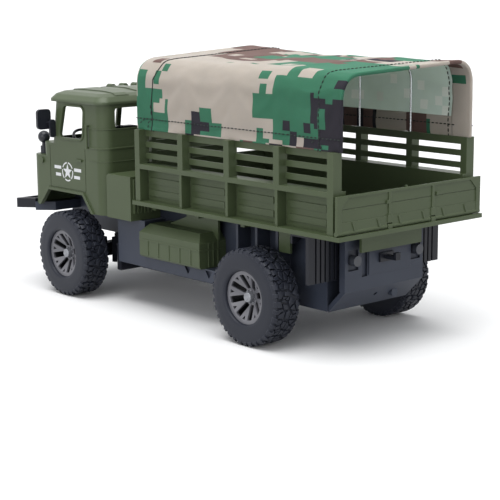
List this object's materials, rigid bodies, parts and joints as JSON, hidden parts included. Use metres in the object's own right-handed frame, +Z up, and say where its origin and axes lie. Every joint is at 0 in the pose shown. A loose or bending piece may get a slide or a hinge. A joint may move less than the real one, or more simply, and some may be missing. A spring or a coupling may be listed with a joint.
{
  "type": "toy military cargo truck",
  "caption": "Toy cab-over military cargo truck: slatted cargo bed with a cloth cover on wire hoops, fold-down tailgate, steered front wheels and freely rolling chunky tyres.",
  "frame": {"origin": "on the floor under the middle of the truck's length and width", "axes": "+X forward, +Y to the driver's left, +Z up"},
  "size_m": [0.3594, 0.154, 0.1852],
  "materials": {
    "olive_plastic": "semi-matt moulded olive",
    "grey_plastic": "matt moulded blue-grey",
    "rim_grey": "satin moulded grey",
    "tyre_rubber": "matt soft rubber",
    "black_plastic": "satin moulded black",
    "cover_cloth": "woven camouflage cloth",
    "steel_wire": "bright steel",
    "clear_lens": "clear moulded lens",
    "grey_lens": "grey moulded lens",
    "metal_can": "plain metal case",
    "battery_wrap": "plain shrink wrap"
  },
  "bodies": {
    "truck": {"battery": "battery_wrap", "bed_floor": "olive_plastic", "bed_headboard": "olive_plastic", "bed_side_left": "olive_plastic", "bed_side_right": "olive_plastic", "cab_floor": "black_plastic", "cab_handles": "olive_plastic", "cab_roof": "olive_plastic", "cab_seats": "black_plastic", "cab_shell": "olive_plastic", "chassis_tub": "grey_plastic", "cover": "cover_cloth", "cover_hoops": "steel_wire", "dashboard": "black_plastic", "door_mirrors": "black_plastic", "drive_motor": "metal_can", "front_axle": "grey_plastic", "front_bumper": "black_plastic", "grille": "olive_plastic", "headlamps": "clear_lens", "mud_flaps": "grey_plastic", "rear_axle": "steel_wire", "rear_board": "olive_plastic", "rear_panel": "grey_plastic", "roof_lamps": "olive_plastic", "side_box_left": "olive_plastic", "side_box_right": "olive_plastic", "side_lamps": "olive_plastic", "spot_lamps": "black_plastic", "steering_wheel": "black_plastic", "tail_lamps": "grey_lens", "tailgate_pin": "steel_wire", "tank_left": "olive_plastic", "tank_right": "olive_plastic", "tow_hook": "black_plastic", "tub_cover": "grey_plastic"},
    "wheel_front_left": {"tyre_front_left": "tyre_rubber", "rim_front_left": "rim_grey"},
    "wheel_front_right": {"tyre_front_right": "tyre_rubber", "rim_front_right": "rim_grey"},
    "wheel_rear_left": {"tyre_rear_left": "tyre_rubber", "rim_rear_left": "rim_grey"},
    "wheel_rear_right": {"tyre_rear_right": "tyre_rubber", "rim_rear_right": "rim_grey"},
    "steer_knuckle_left": {"knuckle_left": "black_plastic"},
    "steer_knuckle_right": {"knuckle_right": "black_plastic"},
    "steering_bar": {"steering_link": "black_plastic"},
    "gate": {"tailgate": "olive_plastic"}
  },
  "joints": [
    {"name": "steer_left", "type": "hinge", "parent": "truck", "child": "steer_knuckle_left", "pos_m": [0.1126, 0.043, 0.0325], "axis": [0, 0, 1], "range_deg": [-25, 25]},
    {"name": "steer_right", "type": "hinge", "parent": "truck", "child": "steer_knuckle_right", "pos_m": [0.1126, -0.043, 0.0325], "axis": [0, 0, 1], "range_deg": [-25, 25]},
    {"name": "steering_bar_slide", "type": "slide", "parent": "truck", "child": "steering_bar", "axis": [0, 1, 0], "range_m": [-0.0051, 0.0051]},
    {"name": "spin_front_left", "type": "hinge", "parent": "steer_knuckle_left", "child": "wheel_front_left", "pos_m": [0.1126, 0.06, 0.0325], "axis": [0, 1, 0], "continuous": true},
    {"name": "spin_front_right", "type": "hinge", "parent": "steer_knuckle_right", "child": "wheel_front_right", "pos_m": [0.1126, -0.06, 0.0325], "axis": [0, 1, 0], "continuous": true},
    {"name": "spin_rear_left", "type": "hinge", "parent": "truck", "child": "wheel_rear_left", "pos_m": [-0.0974, 0.06, 0.0325], "axis": [0, 1, 0], "continuous": true},
    {"name": "spin_rear_right", "type": "hinge", "parent": "truck", "child": "wheel_rear_right", "pos_m": [-0.0974, -0.06, 0.0325], "axis": [0, 1, 0], "continuous": true},
    {"name": "tailgate_fold", "type": "hinge", "parent": "truck", "child": "gate", "pos_m": [-0.1766, 0, 0.0842], "axis": [0, -1, 0], "range_deg": [0, 90]}
  ],
  "couplings": [
    {"joint": "steer_right", "follows": "steer_left", "ratio": 1},
    {"joint": "steering_bar_slide", "follows": "steer_left", "m_per_rad": -0.011623}
  ]
}
